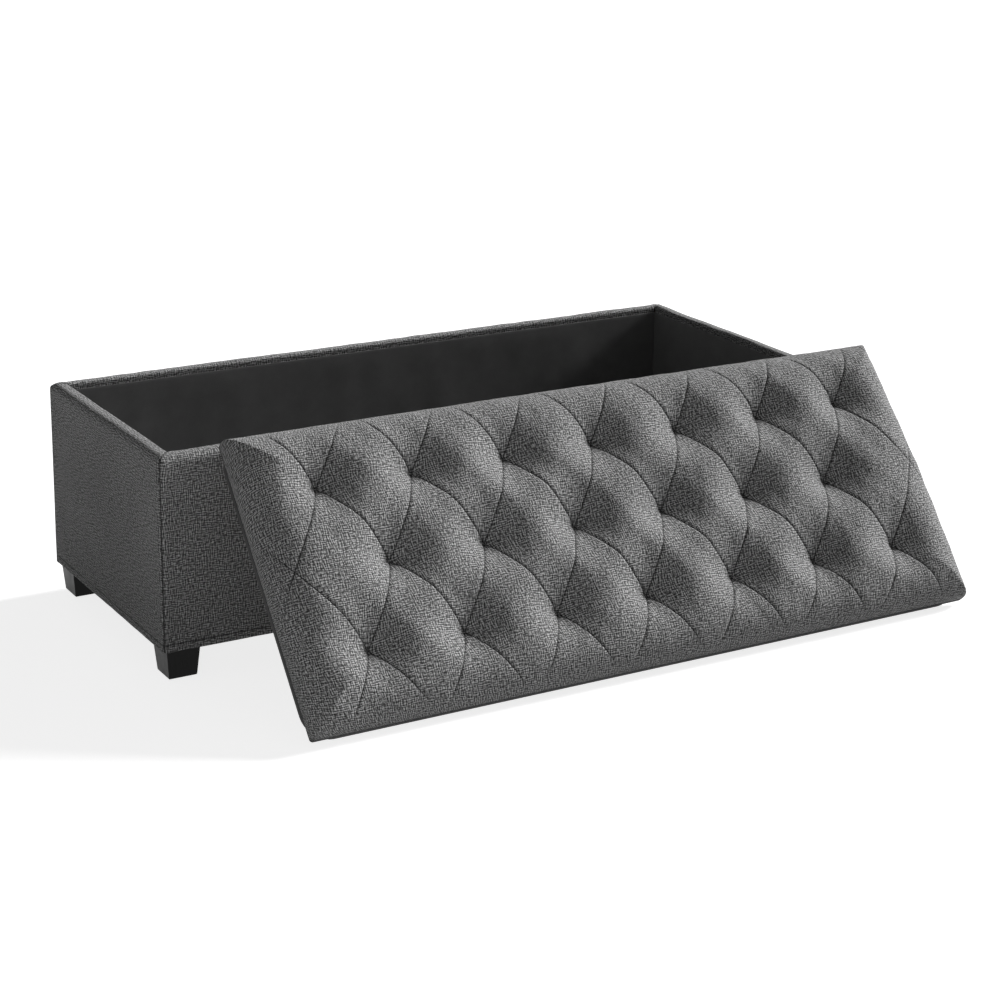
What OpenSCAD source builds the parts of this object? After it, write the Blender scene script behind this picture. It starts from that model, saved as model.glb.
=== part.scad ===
// Storage bench with a loose tufted lid, millimetres, +Z up.
// The box stands on four legs. The lid is off the box and leans on its front rim.
// X runs along the bench, -Y is the front. The origin is on the floor, under the middle of everything.

/* [Bench] */
// Length of the box and of the lid
bench_l = 1100; // [900:1:1300]
// Depth of the box and of the lid, front to back
bench_d = 435; // [420:1:480]
// Height of the rim above the floor
rim_z = 330; // [300:1:345]

/* [Walls] */
// Thickness of the wall boards
panel_t = 12; // [9:0.5:18]
// Foam on the outside of the wall boards
pad_t = 9; // [7:0.5:12]
// Foam over the top edge of the wall boards
rim_pad_t = 4; // [3:0.5:8]
// Thickness of the upholstery fabric
cover_t = 1; // [0.6:0.1:1.5]
// Thickness of the black lining
lining_t = 1; // [0.6:0.1:1.5]
// Rounding of the rim's outer edge
edge_r = 12; // [6:0.5:14]
// Rounding of the rim's inner edge
inner_edge_r = 4; // [3:0.5:5]
// Rounding of the box's upright corners
corner_r = 6; // [4:0.5:8]
// Rounding of the box's bottom edge
bottom_r = 3; // [2:0.5:4]
// How far the fabric reaches down inside the rim
turn_in = 30; // [20:1:40]
// How far the lining starts below the rim
lining_drop = 5; // [5:0.5:10]
// Width of the fabric edge turned under the box and under the lid
hem_w = 25; // [20:0.5:26]

/* [Floor] */
// Thickness of the floor board
floor_t = 9; // [6:0.5:15]
// Width of the floor rails
rail_w = 20; // [18:1:30]
// Height of the floor rails and corner blocks
rail_h = 20; // [18:1:30]
// Side of the square corner blocks
block_w = 46; // [40:1:60]
// Gap around the floor board
floor_gap = 0.5; // [0.2:0.1:1]
// Thickness of the dust cover
dust_t = 0.8; // [0.5:0.1:1.5]
// How far the dust cover stays in from the edge
dust_inset = 12; // [8:1:20]

/* [Legs] */
// Height of the legs, with their glides
leg_h = 45; // [38:1:70]
// Width of a leg at its top
leg_top_w = 50; // [46:1:56]
// Width of a leg at its foot
leg_foot_w = 42; // [32:1:44]
// Softening of a leg's edges
leg_edge_r = 2; // [1:0.5:3]
// Diameter of the hanger bolts
bolt_d = 8; // [6:1:8]
// Diameter of the threaded inserts
insert_d = 12; // [11:0.5:14]
// Depth of the threaded inserts
insert_h = 15; // [10:1:17]
// Wood between an insert and the wall boards
insert_edge = 4; // [3:0.5:8]
// How deep a bolt sits in its leg
bolt_in_leg = 24; // [15:1:28]
// Diameter of the glides
glide_d = 22; // [16:1:28]
// Thickness of the glides
glide_t = 1.5; // [1:0.1:3]
// Diameter of a glide's pin
glide_pin_d = 2.4; // [1.6:0.2:3]
// Length of a glide's pin
glide_pin_h = 10; // [6:1:11]

/* [Lid] */
// Thickness of the lid's base panel
base_t = 9; // [6:0.5:12]
// How far the base panel stays in from the lid's edge
base_inset = 1; // [0.5:0.5:3]
// Corner rounding of the base panel
base_corner_r = 40; // [20:1:60]
// Thickness of the lid's seat board
seat_board_t = 12; // [9:0.5:15]
// How far the seat board stays in from the lid's edge
seat_board_inset = 4; // [3:0.5:6]
// Thickness of the foam slab
foam_t = 15; // [10:1:17]
// How far the foam slab stays in from the lid's edge
foam_inset = 14; // [13:1:25]
// Width of the locating battens
batten_w = 18; // [14:1:25]
// Depth of the locating battens
batten_h = 12; // [8:0.5:13]
// Gap between the battens and the box's lining when the lid is on
batten_gap = 3; // [2:0.5:5]
// Height of the tufted seat above the lid's underside
seat_h = 71; // [66:1:80]
// How far below the foam the seat's rounded border starts
border_drop = 4; // [1:0.5:6]
// Corner rounding of the seat
seat_corner_r = 16; // [8:1:20]

/* [Tufting] */
// Distance between tufts along the lid
tuft_pitch = 147.5; // [120:0.5:170]
// Distance between the rows of tufts
tuft_row = 120; // [100:0.5:125]
// Tufts in each outer row
tuft_count = 7; // [5:1:7]
// Depth of a tuft below the seat
tuft_depth = 27; // [15:1:28]
// Radius over which a tuft draws the seat down
tuft_reach = 60; // [48:1:66]
// How softly the seat bends down where a tuft's reach begins
tuft_ease = 0.2; // [0.1:0.05:0.4]
// How much of a tuft's depth is a narrow pinch at its middle
tuft_pinch = 7; // [3:1:10]
// Radius of the pinch
tuft_pinch_r = 9; // [5:1:12]
// Depth of the creases between the tufts
crease_depth = 3; // [1:0.5:5]
// Width of the creases
crease_w = 12; // [8:1:20]
// Width of the rounded border of the seat
border_w = 90; // [60:1:110]
// How far the middle of each short side swells out
end_swell = 9; // [0:0.5:12]
// How far the middle of each long side swells out
side_swell = 3; // [0:0.5:5]
// Steps of the seat's surface between two tufts of a row
tuft_steps = 12; // [8:4:16]

/* [Leaning] */
// How far the lid is pushed to the right of the box
lid_shift = 86; // [0:1:150]
// How far the lid's upper edge reaches past its rest on the rim
lid_overlap = 5; // [3:1:8]
// Gap between the lid's underside and the rim
lean_gap = 0.3; // [0.1:0.1:0.5]

/* [Fasteners] */
// Shank diameter of the screws
screw_d = 4; // [3:0.5:4.5]
// Head diameter of the screws
screw_head_d = 8; // [6:0.5:9]
// Height of a countersunk screw head
screw_head_h = 2.4; // [2:0.1:3]
// How deep the wall screws bite into the end boards
wall_screw_bite = 28; // [20:1:45]
// How deep the rail screws bite into the wall boards
rail_screw_bite = 7; // [5:0.5:8]
// How deep the batten screws bite into the seat board
batten_screw_bite = 7; // [5:0.5:8]
// Gap between a fastener and its hole
hole_gap = 0.1; // [0.05:0.05:0.3]
// Diameter of the tufting cords
cord_d = 2; // [1:0.5:3]
// Diameter of the washers that hold the cords
washer_d = 18; // [12:1:22]
// Diameter of the tuft holes in the foam
foam_hole_d = 12; // [8:1:16]

/* [Hidden] */
$fn = 48;

fabric_color = "#4e5053";
lining_color = "#1d1e20";
leg_color = "#242427";
board_color = "#b8976a";
timber_color = "#d3b583";
foam_color = "#e6dfc4";
steel_color = "#9fa2a6";
cord_color = "#cfcabd";
brass_color = "#c9a94e";
glide_color = "#333333";

cut = 1;             // how far a cutting shape runs past what it cuts
tiny = 0.001;        // keeps a division clear of zero

// Build-up of a wall, as distances in from the box's outer face
board_out = cover_t + pad_t;
board_in = board_out + panel_t;
cover_in = board_in + cover_t;
wall_t = cover_in + lining_t;

// Heights of the box
hem_z = leg_h + dust_t;
board_z = hem_z + cover_t;
rail_top = board_z + rail_h;
floor_top = rail_top + floor_t;
lining_floor = floor_top + lining_t;
board_top = rim_z - cover_t - rim_pad_t;
turn_z = rim_z - turn_in;

// Legs
leg_c = board_in + insert_edge + insert_d / 2;
bolt_top = board_z + insert_h;

// Fasteners
wall_screw_l = panel_t + wall_screw_bite;
rail_screw_l = rail_w + rail_screw_bite;
wall_screw_zs = [for (k = [1:3]) board_z + k * (board_top - board_z) / 4];
rail_screw_z = board_z + rail_h / 2;
rail_l = bench_l - 2 * (board_in + block_w);
end_rail_l = bench_d - 2 * (board_in + block_w);
long_screw_xs = [for (k = [-1.5:1.5]) k * rail_l / 4];
end_screw_ys = [for (k = [-0.5:0.5]) k * end_rail_l / 2];

// Heights of the lid above its underside, lid lying flat
lid_l = bench_l;
lid_d = bench_d;
base_top = lining_t + base_t;
seat_board_z = base_top + cover_t;
foam_z = seat_board_z + seat_board_t;
foam_top = foam_z + foam_t;
border_z = foam_z - border_drop;
batten_out = wall_t + batten_gap;
batten_c = batten_out + batten_w / 2;
batten_l = lid_l - 2 * batten_out;
end_batten_l = lid_d - 2 * (batten_out + batten_w);
batten_screw_l = batten_h + seat_board_z + batten_screw_bite;

// The lid leans with its underside on the round of the front rim.
lean_r = edge_r + lean_gap;
lean_run = lid_d - base_inset - lid_overlap;
lean_height = rim_z - edge_r;
lean_depth = sqrt(lean_run * lean_run + lean_r * lean_r - lean_height * lean_height);
lean = atan2(lean_height, lean_depth) + asin(lean_r / norm([lean_depth, lean_height]));
lid_foot_y = edge_r - bench_d / 2 - lean_depth;

// Stations over the seat's rounded border, as degrees round it, and where those of the tufting take over
border_angles = [0, 9, 18, 28, 40];
border_end = 48;

// How far the leaning seat reaches in front of its foot
lid_front = max([for (a = border_angles) (border_z + (seat_h - border_z) * sin(a)) * sin(lean)
    + (base_inset + side_swell * cos(a) - border_w * (1 - cos(a))) * cos(lean)]);

// Middle of the whole footprint, box and leaning lid
lid_front_y = lid_foot_y - lid_front;
middle_x = (lid_shift + end_swell) / 2;
middle_y = (bench_d / 2 + lid_front_y) / 2;

// ---- Shared shapes ----

// Rectangle from [0, 0] with its upper corners rounded by top_r and its lower ones by low_r
module rounded_rect(w, h, top_r, low_r) {
    union() {
        translate([low_r, 0]) square([w - 2 * low_r, h / 2]);
        translate([0, low_r]) square([w, h - low_r - top_r]);
        translate([top_r, h / 2]) square([w - 2 * top_r, h / 2]);
        for (x = [low_r, w - low_r]) translate([x, low_r]) circle(low_r);
        for (x = [top_r, w - top_r]) translate([x, h - top_r]) circle(top_r);
    }
}

// Upright slab centred on the origin, between two heights
module slab(l, d, z0, z1) {
    translate([-l / 2, -d / 2, z0]) cube([l, d, z1 - z0]);
}

// 2D shape in X and Z, drawn out along Y and centred on it
module along_y(d) {
    translate([0, d / 2, 0]) rotate([90, 0, 0]) linear_extrude(d) children();
}

// 2D shape in Y and Z, drawn out along X and centred on it
module along_x(l) {
    translate([-l / 2, 0, 0]) rotate([90, 0, 90]) linear_extrude(l) children();
}

// The upholstered box as a full block, in from its outside by i
module box_block(i) {
    l = bench_l - 2 * i;
    d = bench_d - 2 * i;
    h = rim_z - hem_z - 2 * i;
    low_r = bottom_r - i;
    intersection() {
        translate([0, 0, hem_z + i]) along_x(l) translate([-d / 2, 0]) rounded_rect(d, h, edge_r - i, low_r);
        translate([0, 0, hem_z + i]) along_y(d) translate([-l / 2, 0]) rounded_rect(l, h, edge_r - i, low_r);
        linear_extrude(rim_z + cut) translate([-l / 2, -d / 2]) rounded_rect(l, d, corner_r - i, corner_r - i);
    }
}

// The opening of the box with its rounded inner rim, grown by i
module box_opening(i) {
    l = bench_l - 2 * (cover_in - i);
    d = bench_d - 2 * (cover_in - i);
    r = inner_edge_r - i;
    slab(l, d, board_z, rim_z + cut);
    for (side = [-1, 1]) {
        translate([0, side * d / 2, rim_z - i - r]) along_x(l) rim_cutter(r, side);
        translate([side * l / 2, 0, rim_z - i - r]) along_y(d) rim_cutter(r, side);
    }
}

// What rounds one inner edge of the rim
module rim_cutter(r, side) {
    mirror([side > 0 ? 0 : 1, 0]) difference() {
        square([r, r + cut]);
        translate([r, 0]) circle(r);
    }
}

// One side's share of something that runs all round the box, mitred at 45 degrees
module side_share(side) {
    l = bench_l / 2 + cut;
    d = bench_d / 2 + cut;
    outline = side == "front" ? [[-l, -d], [l, -d], [l - d, 0], [d - l, 0]]
        : side == "back" ? [[-l, d], [l, d], [l - d, 0], [d - l, 0]]
        : side == "left" ? [[-l, -d], [d - l, 0], [-l, d]]
        : [[l, -d], [l - d, 0], [l, d]];
    intersection() {
        children();
        linear_extrude(rim_z + cut) polygon(outline);
    }
}

// At each corner of the box, in from both faces by c
module at_corners(c) {
    for (sx = [-1, 1], sy = [-1, 1]) translate([sx * (bench_l / 2 - c), sy * (bench_d / 2 - c), 0]) children();
}

// Holes that pass the hanger bolts through what lies between the legs and the corner blocks
module bolt_holes() {
    at_corners(leg_c) cylinder(d = insert_d, h = board_z);
}

// Screw with a countersunk head, its head's face at the origin, pointing along +Z. Grown by g, it is its own hole.
module screw(l, g = 0) {
    cylinder(d = screw_d + 2 * g, h = l);
    cylinder(d1 = screw_head_d + 2 * g, d2 = screw_d + 2 * g, h = screw_head_h);
}

// Everything is built about the box's own middle, then set over the middle of the whole footprint.
module on_box() {
    translate([-middle_x, -middle_y, 0]) children();
}

// The lid is built lying flat, its foot edge along X at y = 0 and its underside at z = 0, then leant on the rim.
module on_lid() {
    on_box() translate([lid_shift, lid_foot_y, 0]) rotate([lean, 0, 0]) translate([0, -base_inset, 0]) children();
}

// ---- Box: boards and rails ----

module wall_screw_set(g = 0) {
    for (sx = [-1, 1], sy = [-1, 1], z = wall_screw_zs)
        translate([sx * (bench_l / 2 - board_out - panel_t / 2), sy * (bench_d / 2 - board_out), z])
            rotate([sy * 90, 0, 0]) screw(wall_screw_l, g);
}

module rail_screw_set(g = 0) {
    for (sy = [-1, 1], x = long_screw_xs)
        translate([x, sy * (bench_d / 2 - board_in - rail_w), rail_screw_z])
            rotate([-sy * 90, 0, 0]) screw(rail_screw_l, g);
    for (sx = [-1, 1], y = end_screw_ys)
        translate([sx * (bench_l / 2 - board_in - rail_w), y, rail_screw_z])
            rotate([0, sx * 90, 0]) screw(rail_screw_l, g);
}

// Front board, or the back one with side = 1
module long_panel(side) {
    l = bench_l - 2 * board_out;
    y = side * (bench_d / 2 - board_out - panel_t / 2);
    color(board_color) difference() {
        translate([0, y, 0]) slab(l, panel_t, board_z, board_top);
        wall_screw_set(hole_gap);
        rail_screw_set(hole_gap);
    }
}

// Left end board, or the right one with side = 1
module end_panel(side) {
    d = bench_d - 2 * board_in;
    x = side * (bench_l / 2 - board_out - panel_t / 2);
    color(board_color) difference() {
        translate([x, 0, 0]) slab(panel_t, d, board_z, board_top);
        wall_screw_set(hole_gap);
        rail_screw_set(hole_gap);
    }
}

module front_panel() { long_panel(-1); }
module back_panel() { long_panel(1); }
module left_panel() { end_panel(-1); }
module right_panel() { end_panel(1); }

module floor_panel() {
    inset = 2 * (board_in + floor_gap);
    color(board_color) slab(bench_l - inset, bench_d - inset, rail_top, floor_top);
}

module long_rail(side) {
    color(timber_color) difference() {
        translate([0, side * (bench_d / 2 - board_in - rail_w / 2), 0]) slab(rail_l, rail_w, board_z, rail_top);
        rail_screw_set(hole_gap);
    }
}

module end_rail(side) {
    color(timber_color) difference() {
        translate([side * (bench_l / 2 - board_in - rail_w / 2), 0, 0]) slab(rail_w, end_rail_l, board_z, rail_top);
        rail_screw_set(hole_gap);
    }
}

module front_rail() { long_rail(-1); }
module back_rail() { long_rail(1); }
module left_rail() { end_rail(-1); }
module right_rail() { end_rail(1); }

module centre_rail() {
    color(timber_color) slab(rail_w, bench_d - 2 * (board_in + rail_w), board_z, rail_top);
}

module corner_blocks() {
    color(timber_color) difference() {
        at_corners(board_in + block_w / 2) slab(block_w, block_w, board_z, rail_top);
        at_corners(leg_c) translate([0, 0, board_z - cut]) cylinder(d = insert_d, h = insert_h + cut);
    }
}

module leg_inserts() {
    color(brass_color) at_corners(leg_c) translate([0, 0, board_z]) difference() {
        cylinder(d = insert_d, h = insert_h);
        translate([0, 0, -cut]) cylinder(d = bolt_d + 2 * hole_gap, h = insert_h + 2 * cut);
    }
}

module wall_screws() {
    color(steel_color) wall_screw_set();
}

module rail_screws() {
    color(steel_color) rail_screw_set();
}

// ---- Box: legs ----

// Side view of a leg, with softened edges at its foot
module leg_side() {
    r = leg_edge_r;
    lean_in = (leg_top_w - leg_foot_w) / 2;
    slope = lean_in / (leg_h - glide_t);
    for (side = [0, 1]) mirror([side, 0]) {
        polygon([[0, glide_t], [leg_foot_w / 2 - r, glide_t], [leg_foot_w / 2 + slope * r, glide_t + r],
            [leg_top_w / 2, leg_h], [0, leg_h]]);
        intersection() {
            translate([leg_foot_w / 2 - r, glide_t + r]) circle(r);
            translate([0, glide_t]) square([leg_foot_w / 2, r]);
        }
    }
}

module leg(sx, sy) {
    color(leg_color)
        translate([sx * (bench_l / 2 - leg_c), sy * (bench_d / 2 - leg_c), 0])
            difference() {
                intersection() {
                    along_x(leg_top_w) leg_side();
                    along_y(leg_top_w) leg_side();
                }
                translate([0, 0, leg_h - bolt_in_leg]) cylinder(d = bolt_d + 2 * hole_gap, h = bolt_in_leg + cut);
                cylinder(d = glide_pin_d + 2 * hole_gap, h = glide_t + glide_pin_h);
            }
}

module front_left_leg() { leg(-1, -1); }
module front_right_leg() { leg(1, -1); }
module back_left_leg() { leg(-1, 1); }
module back_right_leg() { leg(1, 1); }

module leg_bolts() {
    color(steel_color) at_corners(leg_c)
        translate([0, 0, leg_h - bolt_in_leg]) cylinder(d = bolt_d, h = bolt_top - leg_h + bolt_in_leg);
}

module leg_glides() {
    color(glide_color) at_corners(leg_c) {
        cylinder(d = glide_d, h = glide_t);
        cylinder(d = glide_pin_d, h = glide_t + glide_pin_h);
    }
}

// ---- Box: padding, covers and linings ----

module pad(side) {
    color(foam_color) side_share(side) difference() {
        box_block(cover_t);
        box_opening(cover_t);
        slab(bench_l - 2 * board_out, bench_d - 2 * board_out, board_z - cut, board_top);
    }
}

module front_pad() { pad("front"); }
module back_pad() { pad("back"); }
module left_pad() { pad("left"); }
module right_pad() { pad("right"); }

module cover(side) {
    color(fabric_color) side_share(side) difference() {
        box_block(0);
        difference() {
            box_block(cover_t);
            box_opening(cover_t);
        }
        box_opening(0);
        slab(bench_l - 2 * board_in, bench_d - 2 * board_in, board_z, turn_z);
        slab(bench_l - 2 * hem_w, bench_d - 2 * hem_w, hem_z - cut, board_z + cut);
        bolt_holes();
    }
}

module front_cover() { cover("front"); }
module back_cover() { cover("back"); }
module left_cover() { cover("left"); }
module right_cover() { cover("right"); }

module long_lining(side) {
    color(lining_color) translate([0, side * (bench_d / 2 - cover_in - lining_t / 2), 0])
        slab(bench_l - 2 * cover_in, lining_t, lining_floor, rim_z - lining_drop);
}

module end_lining(side) {
    color(lining_color) translate([side * (bench_l / 2 - cover_in - lining_t / 2), 0, 0])
        slab(lining_t, bench_d - 2 * wall_t, lining_floor, rim_z - lining_drop);
}

module front_lining() { long_lining(-1); }
module back_lining() { long_lining(1); }
module left_lining() { end_lining(-1); }
module right_lining() { end_lining(1); }

module floor_lining() {
    inset = 2 * (board_in + floor_gap);
    color(lining_color) slab(bench_l - inset, bench_d - inset, floor_top, lining_floor);
}

module dust_cover() {
    color(lining_color) difference() {
        slab(bench_l - 2 * dust_inset, bench_d - 2 * dust_inset, leg_h, hem_z);
        bolt_holes();
    }
}

// ---- Lid: the tufted seat ----

// Every tuft as [x, y] about the middle of the lid: outer rows of tuft_count, a middle row of one fewer
tufts = [for (row = [-1:1]) let (n = tuft_count - (row == 0 ? 1 : 0))
    for (k = [0:n - 1]) [(k - (n - 1) / 2) * tuft_pitch, row * tuft_row]];

// Rise of the seat's border, 0 at the lid's edge and 1 at border_w in from it
function border(d) = let (t = 1 - min(max(d, 0), border_w) / border_w) sqrt(1 - t * t);

// Distance to the nearest crease. The creases run diagonally from tuft to tuft, and on to the lid's edges.
crease_step = tuft_pitch * tuft_row * 2 / norm([2 * tuft_row, tuft_pitch]);
crease_phase = tuft_count % 2 / 2;
function off_line(t) = abs(t - round(t)) * crease_step;
function crease_off(x, y) = let (u = x / tuft_pitch + crease_phase, v = y / (2 * tuft_row))
    min(off_line(u + v), off_line(u - v));

// Depth that the nearest tuft draws the seat down by, at a distance from its middle: a wide funnel and a pinch
function tuft_dip(away) = let (left = 1 - away / tuft_reach,
        funnel = (left + norm([left, tuft_ease])) / (1 + norm([1, tuft_ease])))
    (tuft_depth - tuft_pinch) * funnel + tuft_pinch * exp(-away / tuft_pinch_r);

// Height of the seat above the lid's underside
function seat_z(x, y) = let (
        rise = border(min(lid_l / 2 - abs(x), lid_d / 2 - abs(y))),
        away = min([for (t = tufts) norm([x, y] - t)]),
        crease = crease_depth * exp(-crease_off(x, y) / crease_w) * (1 - exp(-away / crease_w)))
    border_z + rise * (seat_h - border_z - tuft_dip(away) - crease);

// The sides swell out between the corners.
function swell(x, y) = let (
        in_x = 1 - min(lid_l / 2 - abs(x), border_w) / border_w,
        in_y = 1 - min(lid_d / 2 - abs(y), border_w) / border_w,
        mid_x = 1 - pow(2 * x / lid_l, 2),
        mid_y = 1 - pow(2 * y / lid_d, 2))
    [sign(x) * end_swell * in_x * mid_y, sign(y) * side_swell * in_y * mid_x];

// A point of the seat, seen from above, with the corners drawn in from square to round
function rounded(x, y) = let (
        beyond = [max(abs(x) - lid_l / 2 + seat_corner_r, 0), max(abs(y) - lid_d / 2 + seat_corner_r, 0)],
        pull = beyond * (1 - max(beyond) / max(norm(beyond), tiny)))
    [x - sign(x) * pull[0], y - sign(y) * pull[1]];

// Stations of the surface: close together over the rounded border, then in steps of the tufting
border_offs = [for (a = border_angles) border_w * (1 - cos(a))];
function stations(half, step) = let (
        m = floor((half - border_w * (1 - cos(border_end))) / step),
        left = [for (o = border_offs) o - half],
        middle = [for (k = [-m:m]) k * step],
        right = [for (k = [len(border_offs) - 1:-1:0]) half - border_offs[k]])
    concat(left, middle, right);
xs = stations(lid_l / 2, tuft_pitch / tuft_steps);
ys = stations(lid_d / 2, 2 * tuft_row / tuft_steps);
nx = len(xs);
ny = len(ys);

// Does a crease cross this cell of the surface from its lower left to its upper right?
function crease_up(i, j) = let (
        lo = crease_off(xs[i], ys[j]) + crease_off(xs[i + 1], ys[j + 1]),
        hi = crease_off(xs[i + 1], ys[j]) + crease_off(xs[i], ys[j + 1]))
    lo < hi;

// The seat as a solid block: its tufted top, its edges and a flat underside on the base panel
module seat_block() {
    top = [for (y = ys, x = xs) let (p = rounded(x, y) + swell(x, y)) [p[0], p[1] + lid_d / 2, seat_z(x, y)]];
    // once round the edge, anticlockwise from the front left corner
    round_edge = concat([for (i = [0:nx - 2]) i], [for (j = [0:ny - 2]) j * nx + nx - 1],
        [for (i = [nx - 1:-1:1]) (ny - 1) * nx + i], [for (j = [ny - 1:-1:1]) j * nx]);
    low = [for (k = round_edge) let (p = rounded(xs[k % nx], ys[floor(k / nx)])) [p[0], p[1] + lid_d / 2, base_top]];
    n_low = len(low);
    first_low = len(top);
    top_faces = [for (j = [0:ny - 2], i = [0:nx - 2]) let (a = j * nx + i, b = a + 1, c = a + nx, d = c + 1)
        each crease_up(i, j) ? [[a, d, b], [a, c, d]] : [[a, c, b], [b, c, d]]];
    side_faces = [for (k = [0:n_low - 1]) let (m = (k + 1) % n_low)
        each [[first_low + k, round_edge[k], round_edge[m]], [first_low + k, round_edge[m], first_low + m]]];
    underside = [for (k = [0:n_low - 1]) first_low + k];
    polyhedron(concat(top, low), concat(top_faces, side_faces, [underside]));
}

// The seat's fabric and topper in one: hollow for the seat board and the foam, and open inside its hem
module seat_cover() {
    color(fabric_color) on_lid() difference() {
        seat_block();
        lid_slab(hem_w, base_top - cut, seat_board_z + cut);
        seat_board_slab();
        lid_slab(foam_inset, foam_z - cut, foam_top);
    }
}

// ---- Lid: what the seat is built on ----

// At each tuft, on the lid lying flat
module at_tufts() {
    for (t = tufts) translate([t[0], t[1] + lid_d / 2, 0]) children();
}

// Slab of the lid, in from its edges by i
module lid_slab(i, z0, z1) {
    translate([0, lid_d / 2, 0]) slab(lid_l - 2 * i, lid_d - 2 * i, z0, z1);
}

// Slab of the lid with its corners rounded by r
module lid_round_slab(i, r, z0, z1) {
    translate([i - lid_l / 2, i, z0]) linear_extrude(z1 - z0) rounded_rect(lid_l - 2 * i, lid_d - 2 * i, r, r);
}

// The seat board before its holes
module seat_board_slab() {
    lid_round_slab(seat_board_inset, seat_corner_r - seat_board_inset, seat_board_z, foam_z);
}

module batten_screw_set(g = 0) {
    for (side = [0, 1]) {
        y = side == 0 ? batten_c : lid_d - batten_c;
        for (k = [-2:2]) translate([k * batten_l / 5, y, -batten_h]) screw(batten_screw_l, g);
    }
    for (side = [-1, 1], k = [-1:1])
        translate([side * (lid_l / 2 - batten_c), lid_d / 2 + k * end_batten_l / 3, -batten_h]) screw(batten_screw_l, g);
}

module seat_board() {
    color(board_color) on_lid() difference() {
        seat_board_slab();
        at_tufts() translate([0, 0, seat_board_z - cut]) cylinder(d = 2 * cord_d, h = seat_board_t + 2 * cut);
        batten_screw_set(hole_gap);
    }
}

module seat_foam() {
    color(foam_color) on_lid() difference() {
        lid_slab(foam_inset, foam_z, foam_top);
        at_tufts() translate([0, 0, foam_z - cut]) cylinder(d = foam_hole_d, h = foam_t + 2 * cut);
    }
}

module tuft_cords() {
    color(cord_color) on_lid() at_tufts() translate([0, 0, base_top]) cylinder(d = cord_d, h = foam_top - base_top);
}

module tuft_washers() {
    color(steel_color) on_lid() at_tufts() translate([0, 0, base_top]) difference() {
        cylinder(d = washer_d, h = cover_t);
        translate([0, 0, -cut]) cylinder(d = cord_d + 2 * hole_gap, h = cover_t + 2 * cut);
    }
}

module lid_base() {
    i = base_inset + lining_t;
    color(board_color) on_lid() difference() {
        lid_round_slab(i, base_corner_r - lining_t, lining_t, base_top);
        batten_screw_set(hole_gap);
    }
}

module lid_lining() {
    color(lining_color) on_lid() difference() {
        lid_round_slab(base_inset, base_corner_r, 0, base_top);
        lid_round_slab(base_inset + lining_t, base_corner_r - lining_t, lining_t, base_top + cut);
        batten_screw_set(hole_gap);
    }
}

module long_batten(y) {
    color(timber_color) on_lid() difference() {
        translate([0, y, 0]) slab(batten_l, batten_w, -batten_h, 0);
        batten_screw_set(hole_gap);
    }
}

module end_batten(side) {
    color(timber_color) on_lid() difference() {
        translate([side * (lid_l / 2 - batten_c), lid_d / 2, 0]) slab(batten_w, end_batten_l, -batten_h, 0);
        batten_screw_set(hole_gap);
    }
}

module front_batten() { long_batten(batten_c); }
module back_batten() { long_batten(lid_d - batten_c); }
module left_batten() { end_batten(-1); }
module right_batten() { end_batten(1); }

module batten_screws() {
    color(steel_color) on_lid() batten_screw_set();
}

// ---- Assembly ----

on_box() front_panel();
on_box() back_panel();
on_box() left_panel();
on_box() right_panel();
on_box() floor_panel();
on_box() front_rail();
on_box() back_rail();
on_box() left_rail();
on_box() right_rail();
on_box() centre_rail();
on_box() corner_blocks();
on_box() leg_inserts();
on_box() leg_bolts();
on_box() front_left_leg();
on_box() front_right_leg();
on_box() back_left_leg();
on_box() back_right_leg();
on_box() leg_glides();
on_box() front_pad();
on_box() back_pad();
on_box() left_pad();
on_box() right_pad();
on_box() front_cover();
on_box() back_cover();
on_box() left_cover();
on_box() right_cover();
on_box() front_lining();
on_box() back_lining();
on_box() left_lining();
on_box() right_lining();
on_box() floor_lining();
on_box() dust_cover();
on_box() wall_screws();
on_box() rail_screws();
seat_board();
seat_foam();
seat_cover();
tuft_cords();
tuft_washers();
lid_base();
lid_lining();
front_batten();
back_batten();
left_batten();
right_batten();
batten_screws();
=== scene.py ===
"""Storage bench: its cloth, linings, stitching, staples, light and camera, laid over the CAD frame.

Metres, +Z up.
"""

import math

import bpy
import numpy as np
from mathutils import Matrix, Vector


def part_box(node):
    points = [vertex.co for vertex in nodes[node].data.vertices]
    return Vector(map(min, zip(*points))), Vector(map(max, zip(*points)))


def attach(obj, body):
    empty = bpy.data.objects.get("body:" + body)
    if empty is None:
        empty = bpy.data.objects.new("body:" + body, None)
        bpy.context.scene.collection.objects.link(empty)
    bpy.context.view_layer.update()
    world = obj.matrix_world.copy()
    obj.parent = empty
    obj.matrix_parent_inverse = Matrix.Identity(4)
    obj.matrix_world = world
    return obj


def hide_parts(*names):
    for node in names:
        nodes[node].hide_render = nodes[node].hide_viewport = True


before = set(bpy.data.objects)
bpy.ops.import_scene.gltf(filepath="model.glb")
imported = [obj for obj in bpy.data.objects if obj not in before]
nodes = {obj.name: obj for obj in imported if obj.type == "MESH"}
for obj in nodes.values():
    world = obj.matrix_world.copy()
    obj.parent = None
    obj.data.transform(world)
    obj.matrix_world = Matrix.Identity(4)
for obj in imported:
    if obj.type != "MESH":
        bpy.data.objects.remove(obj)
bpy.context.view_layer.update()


# ---- Sizes ----

MM = 0.001
FULL_TURN = 2 * math.pi
# Keeps a division away from zero
TINY = 1e-12

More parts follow.
